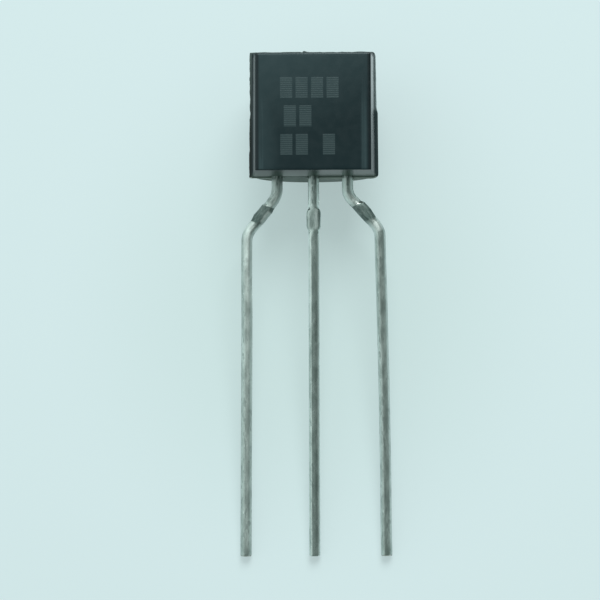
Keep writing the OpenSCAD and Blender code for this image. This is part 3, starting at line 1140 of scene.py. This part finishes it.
def adhesive_material():
    """Silver flakes in resin."""
    mat, g, shader = material("silver_adhesive")
    at = g.upright_place()
    flakes = g.fill(g.node("TexVoronoi"), Vector=at, Scale=70).outputs["Distance"]
    g.fill(shader, Base_Color=g.blend(g.noise(at, 12, 4), ADHESIVE_DEEP, ADHESIVE_CLOUD), Metallic=0.85,
           Roughness=g.span(flakes, 0, 0.6, 0.28, 0.55),
           Normal=g.bump(flakes, FLAKE_DEPTH * MM).outputs["Normal"])
    return mat


GOLD_DEEP = (0.93, 0.62, 0.22)
GOLD_CLOUD = (1.0, 0.74, 0.33)
GOLD_DEPTH = 0.0006


def gold_material():
    mat, g, shader = material("bond_wire_gold")
    drawn = g.noise(g.upright_place(), 40, 3)
    g.fill(shader, Base_Color=g.blend(drawn, GOLD_DEEP, GOLD_CLOUD), Metallic=1.0,
           Roughness=g.span(drawn, 0.3, 0.7, 0.14, 0.26),
           Normal=g.bump(drawn, GOLD_DEPTH * MM).outputs["Normal"])
    return mat


# ---- build

body = moulded_body()
emitter = lead_mesh(
    "formed_emitter_lead", outer_path(-1, POST_TOP, EMITTER_ANGLE),
    inner_reach(-LEAD_PITCH, POST_LOW, POST_LEFT, POST_RIGHT),
    Look(emitter_crest, emitter_shift, corner_r=0.15, neck_r=0.14, stub_sides=(0.05, 0.02), stub_moved=0.06,
         low_slope=0.24, stub_tone=0.9, outer=-1, satin=0.26, touches=EMITTER_TOUCHES, seed=11))
base = lead_mesh(
    "straight_base_lead", [Vector((0, TEE_TOP)), Vector((0, -LEAD_LEN))],
    inner_reach(0, TEE_LOW, -TEE_W / 2, TEE_W / 2),
    Look(base_crest, base_shift, corner_r=0.10, neck_r=0.17, stub_sides=(0.06, 0.06), stub_moved=0.05,
         low_slope=0.15, stub_tone=0, outer=0, satin=0, touches=BASE_TOUCHES, seed=23))
collector = lead_mesh(
    "formed_collector_lead", outer_path(1, FLAG_TOP, COLLECTOR_ANGLE),
    inner_reach(LEAD_PITCH, FLAG_LOW, FLAG_LEFT, FLAG_RIGHT),
    Look(collector_crest, collector_shift, corner_r=0.15, neck_r=0.17, stub_sides=(0.02, 0.06), stub_moved=0,
         low_slope=0.36, stub_tone=0.92, outer=1, satin=0.12, touches=COLLECTOR_TOUCHES, seed=37))

# the body is moulded round the leads, the adhesive, the chip and the wires
INNER_NODES = ("die_attach", "silicon_die", "emitter_bond_wire", "base_bond_wire")
gate = gate_stub()
rooms = [upright_copy(node) for node in INNER_NODES]
combine(body, "UNION", [gate])
combine(body, "DIFFERENCE", [emitter, base, collector] + rooms)
for spare in [gate] + rooms:
    discard(spare)
sharpen_exits(body)
for piece in (body, emitter, base, collector):
    lay_down(piece)

epoxy = epoxy_material()
tin = tin_material()
gold = gold_material()
body.data.materials.clear()
body.data.materials.append(epoxy)
for lead in (emitter, base, collector):
    lead.data.materials.append(tin)
for node, finish in zip(INNER_NODES, (adhesive_material(), silicon_material(), gold, gold)):
    for place in frame["nodes"][node].material_slots:
        place.material = finish
for piece, node, slot in (
        (body, "package_body", "moulding_compound"),
        (emitter, "emitter_lead", "tinned_lead"),
        (base, "base_lead", "tinned_lead"),
        (collector, "collector_lead", "tinned_lead")):
    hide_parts(node)

# ---- floor, light and camera

# Size in metres, and the share of its own colour that it gives off to the camera
FLOOR_SIZE = 3.0
FLOOR_GLOW = 0.58
FLOOR_COLOUR = (0.66, 0.80, 0.81)
FLOOR_PAINTED_SHADOW_COLOUR = (0.605, 0.750, 0.742)
# The painted shadow, a darker oval round the part that only the camera sees: upright millimetres times the
# scale, plus the place, are 0 at its middle, and it fades between these two distances from there
OVAL_SCALE = (0.11, 0, 0.105)
OVAL_PLACE = (0, 0, 0.47)
OVAL_FADE = (0.2, 1.15)
# The room's two colours, the upright direction it is brightest from, and between which cosines it brightens
ROOM_DIM = (0.21, 0.26, 0.25)
ROOM_BRIGHT = (0.82, 0.93, 0.92)
ROOM_FROM = (-0.93, 0, 0.37)
ROOM_TURN = (-0.18, 0.78)
# The lamp's upright direction, its distance and size in metres, and its power in watts
LAMP_FROM = (0.10, -0.62, 0.77)
LAMP_DISTANCE = 0.20
LAMP_SIZE = 0.14
LAMP_POWER = 0.34


def floor():
    """A matt pale floor with a painted shadow: a little darker round the part, as a broad soft lamp would
    leave it.
    """
    bm = bmesh.new()
    bmesh.ops.create_grid(bm, x_segments=2, y_segments=2, size=FLOOR_SIZE / 2)
    obj = mesh_object("floor", bm)
    mat = bpy.data.materials.new("floor")
    g = Graph(mat)
    rays = g.node("LightPath").outputs
    oval = g.scaled(g.upright_place(), OVAL_SCALE, OVAL_PLACE)
    # painted shadow round the part, seen only by camera rays
    near = g.span(g.vector_math("LENGTH", oval)["Value"], *OVAL_FADE, 1, 0)
    near = g.times(near, rays["Is Camera Ray"])
    colour = g.blend(near, FLOOR_COLOUR, FLOOR_PAINTED_SHADOW_COLOUR)
    matt = g.fill(g.node("BsdfDiffuse"), Color=colour)
    glow = g.fill(g.node("Emission"), Color=colour)
    share = g.largest(g.times(rays["Is Camera Ray"], FLOOR_GLOW), rays["Is Glossy Ray"])
    both = g.node("MixShader")
    g.feed(both.inputs, (share, matt.outputs[0], glow.outputs[0]))
    g.fill(g.node("OutputMaterial"), Surface=both.outputs[0])
    obj.data.materials.append(mat)


def world():
    """Soft room light: brighter from the upper left of the picture, dim from the lower right."""
    made = bpy.data.worlds.new("room")
    bpy.context.scene.world = made
    g = Graph(made)
    where = g.node("TexCoord").outputs["Generated"]
    towards = g.vector_math("DOT_PRODUCT", where, lying_direction(*ROOM_FROM))["Value"]
    room = g.blend(g.span(towards, *ROOM_TURN), ROOM_DIM, ROOM_BRIGHT)
    seen = g.blend(g.node("LightPath").outputs["Is Camera Ray"], room, FLOOR_COLOUR)
    background = g.fill(g.node("Background"), Color=seen)
    g.fill(g.node("OutputWorld"), Surface=background.outputs[0])


def lamp():
    """A soft round lamp that looks at the middle of the part."""
    light = bpy.data.lights.new("key", "AREA")
    light.shape = "DISK"
    light.size = LAMP_SIZE
    light.energy = LAMP_POWER
    obj = add_object("key", light)
    away = lying_direction(*LAMP_FROM)
    obj.location = lying(0, 0, -LEAD_LEN / 3) + away * LAMP_DISTANCE
    obj.rotation_mode = "QUATERNION"
    obj.rotation_quaternion = away.to_track_quat("Z", "Y")


# The camera looks at the flat face. Its aim is a place in the plane of the leads.
CAMERA_DISTANCE = 70.0
CAMERA_AIM_X = -0.517
CAMERA_AIM_Z = -4.434
CAMERA_TILT = math.radians(1.95)
CAMERA_YAW = math.radians(0.8)
CAMERA_ROLL = math.radians(0.29)
PIXELS_PER_MM = 27.816
PICTURE_PIXELS = 600
# The camera's sensor in millimetres, and the nearest and farthest that it sees in metres
SENSOR = 36.0
CAMERA_NEAR = 0.001
CAMERA_FAR = 10


def camera():
    data = bpy.data.cameras.new("camera")
    data.sensor_width = SENSOR
    data.lens = SENSOR * PIXELS_PER_MM * CAMERA_DISTANCE / PICTURE_PIXELS
    data.clip_start = CAMERA_NEAR
    data.clip_end = CAMERA_FAR
    obj = add_object("camera", data)
    sin_yaw, cos_yaw = math.sin(CAMERA_YAW), math.cos(CAMERA_YAW)
    sin_tilt, cos_tilt = math.sin(CAMERA_TILT), math.cos(CAMERA_TILT)
    across = lying_direction(cos_yaw, sin_yaw, 0)
    forward = lying_direction(-sin_yaw * cos_tilt, cos_yaw * cos_tilt, sin_tilt)
    up = lying_direction(sin_yaw * sin_tilt, -cos_yaw * sin_tilt, cos_tilt)
    right = across * math.cos(CAMERA_ROLL) - up * math.sin(CAMERA_ROLL)
    top = across * math.sin(CAMERA_ROLL) + up * math.cos(CAMERA_ROLL)
    turn = Matrix((right, top, -forward)).transposed().to_4x4()
    aim = lying(CAMERA_AIM_X, 0, CAMERA_AIM_Z)
    obj.matrix_world = Matrix.Translation(aim - forward * CAMERA_DISTANCE * MM) @ turn
    bpy.context.scene.camera = obj


floor()
world()
lamp()
camera()
bpy.context.scene.view_settings.view_transform = "Standard"
